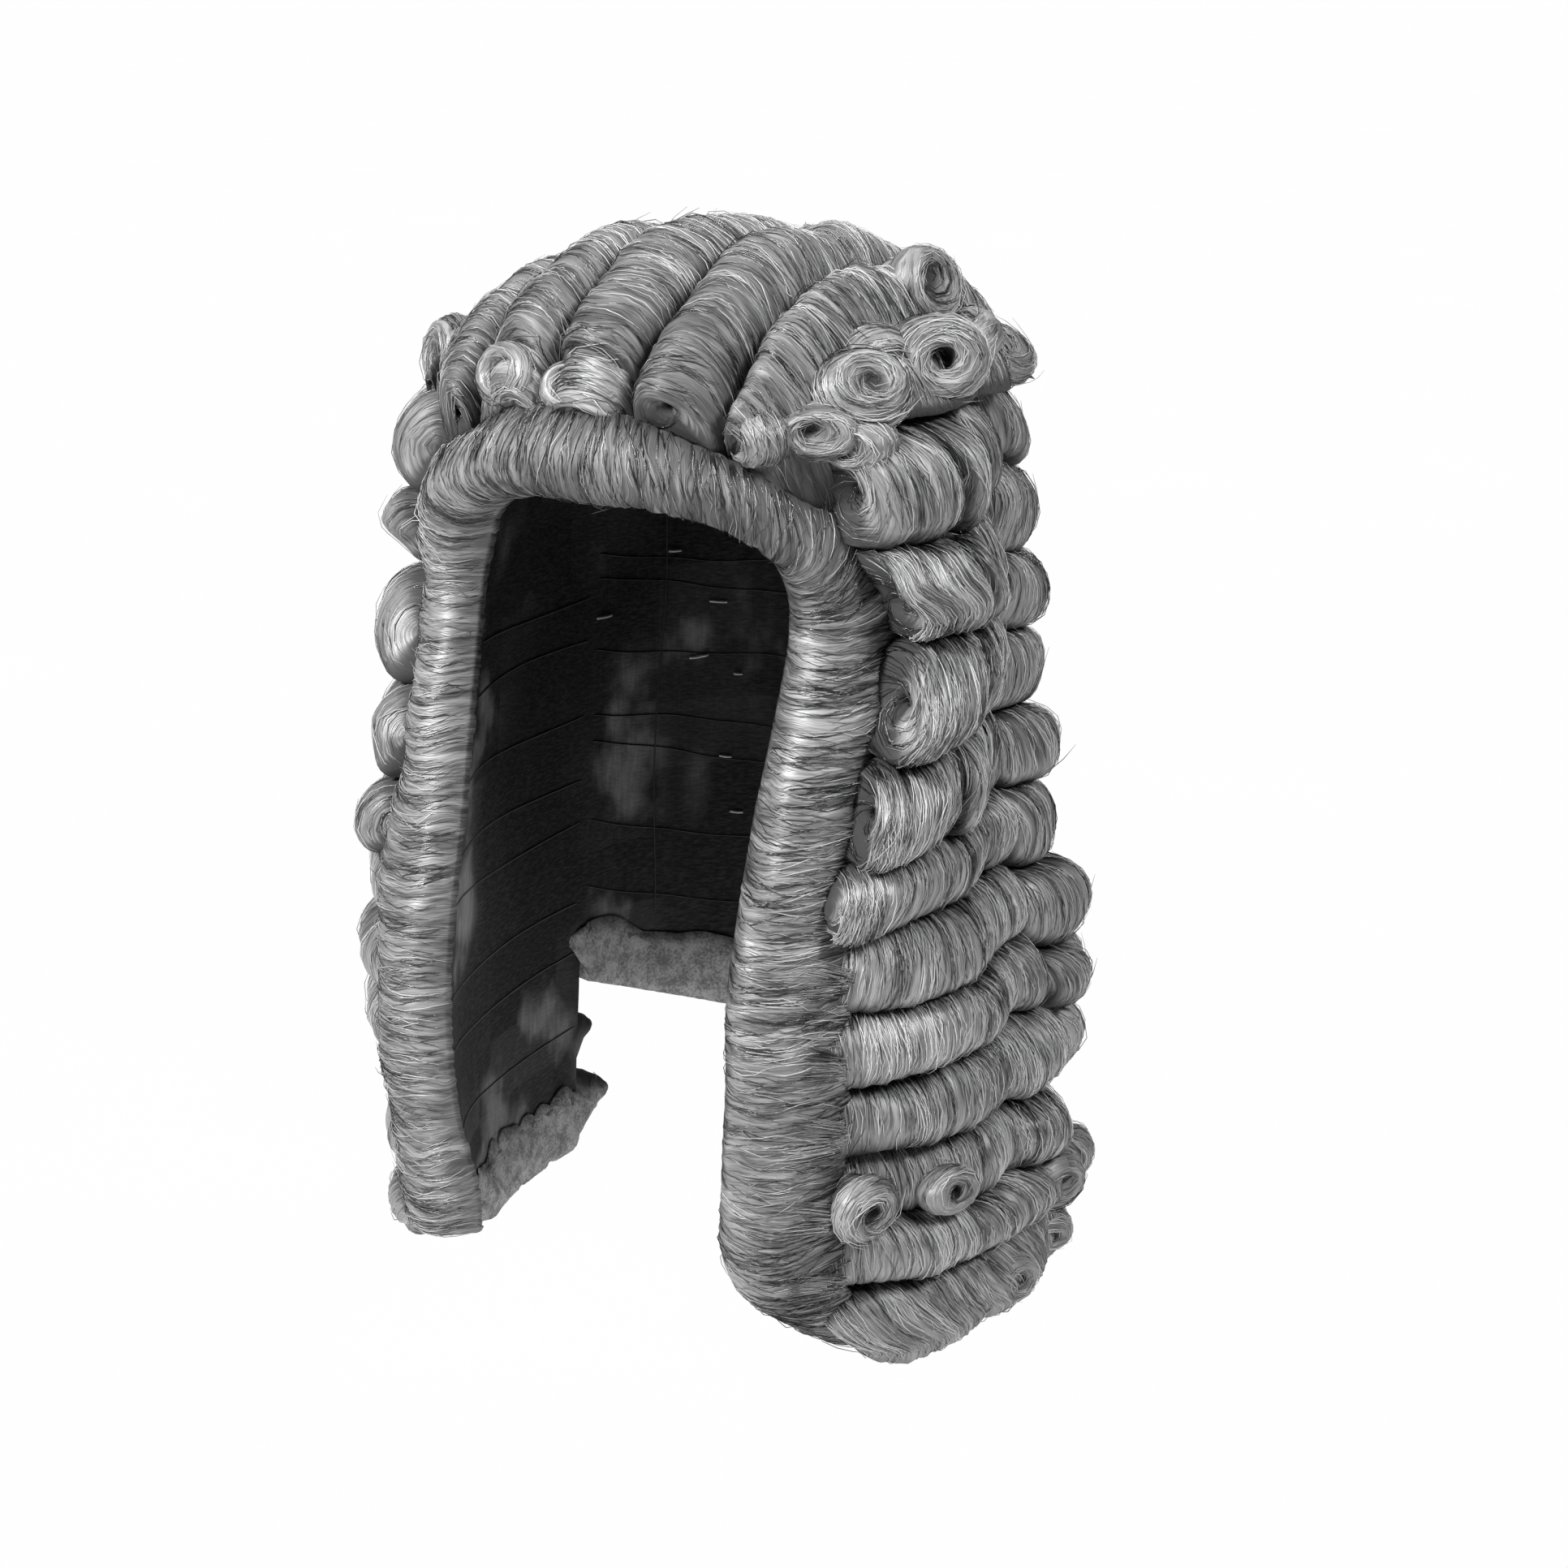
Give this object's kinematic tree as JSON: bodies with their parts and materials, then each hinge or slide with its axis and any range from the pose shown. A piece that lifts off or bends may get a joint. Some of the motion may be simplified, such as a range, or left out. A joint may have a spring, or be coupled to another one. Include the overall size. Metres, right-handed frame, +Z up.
{
  "type": "full-bottomed wig",
  "caption": "Full-bottomed ceremonial wig of grey curled hair, with rolls over the crown, rows of curls down long front lappets and a dark lined cap.",
  "frame": {"origin": "inside of the cap at the top of the crown, where it sits on a head", "axes": "+Z up, the face opening looks along -Y, +X to the wearer's left"},
  "size_m": [0.3216, 0.294, 0.4721],
  "materials": {
    "hair": "satin grey curled hair",
    "lining": "matt charcoal net"
  },
  "bodies": {
    "root": {"cap_lining": "lining", "face_roll": "hair", "right_temple_roll": "hair", "crown_roll_1": "hair", "crown_roll_2": "hair", "crown_roll_3": "hair", "crown_roll_4": "hair", "crown_roll_5": "hair", "left_temple_roll": "hair", "brow_curl_1": "hair", "brow_curl_2": "hair", "left_curl_row_01": "hair", "left_curl_row_02": "hair", "left_curl_row_03": "hair", "left_curl_row_04": "hair", "left_curl_row_05": "hair", "left_curl_row_06": "hair", "left_curl_row_07": "hair", "left_curl_row_08": "hair", "left_curl_row_09": "hair", "left_curl_row_10": "hair", "left_hem_roll": "hair", "right_curl_row_01": "hair", "right_curl_row_02": "hair", "right_curl_row_03": "hair", "right_curl_row_04": "hair", "right_curl_row_05": "hair", "right_curl_row_06": "hair", "right_curl_row_07": "hair", "right_curl_row_08": "hair", "right_curl_row_09": "hair", "right_curl_row_10": "hair", "right_hem_roll": "hair", "left_ring_curl_1": "hair", "left_ring_curl_2": "hair", "back_curl_row_1": "hair", "back_curl_row_2": "hair", "back_curl_row_3": "hair", "back_curl_row_4": "hair", "back_curl_row_5": "hair", "back_curl_row_6": "hair", "back_curl_row_7": "hair", "back_curl_row_8": "hair", "back_hem_roll": "hair"}
  },
  "joints": []
}
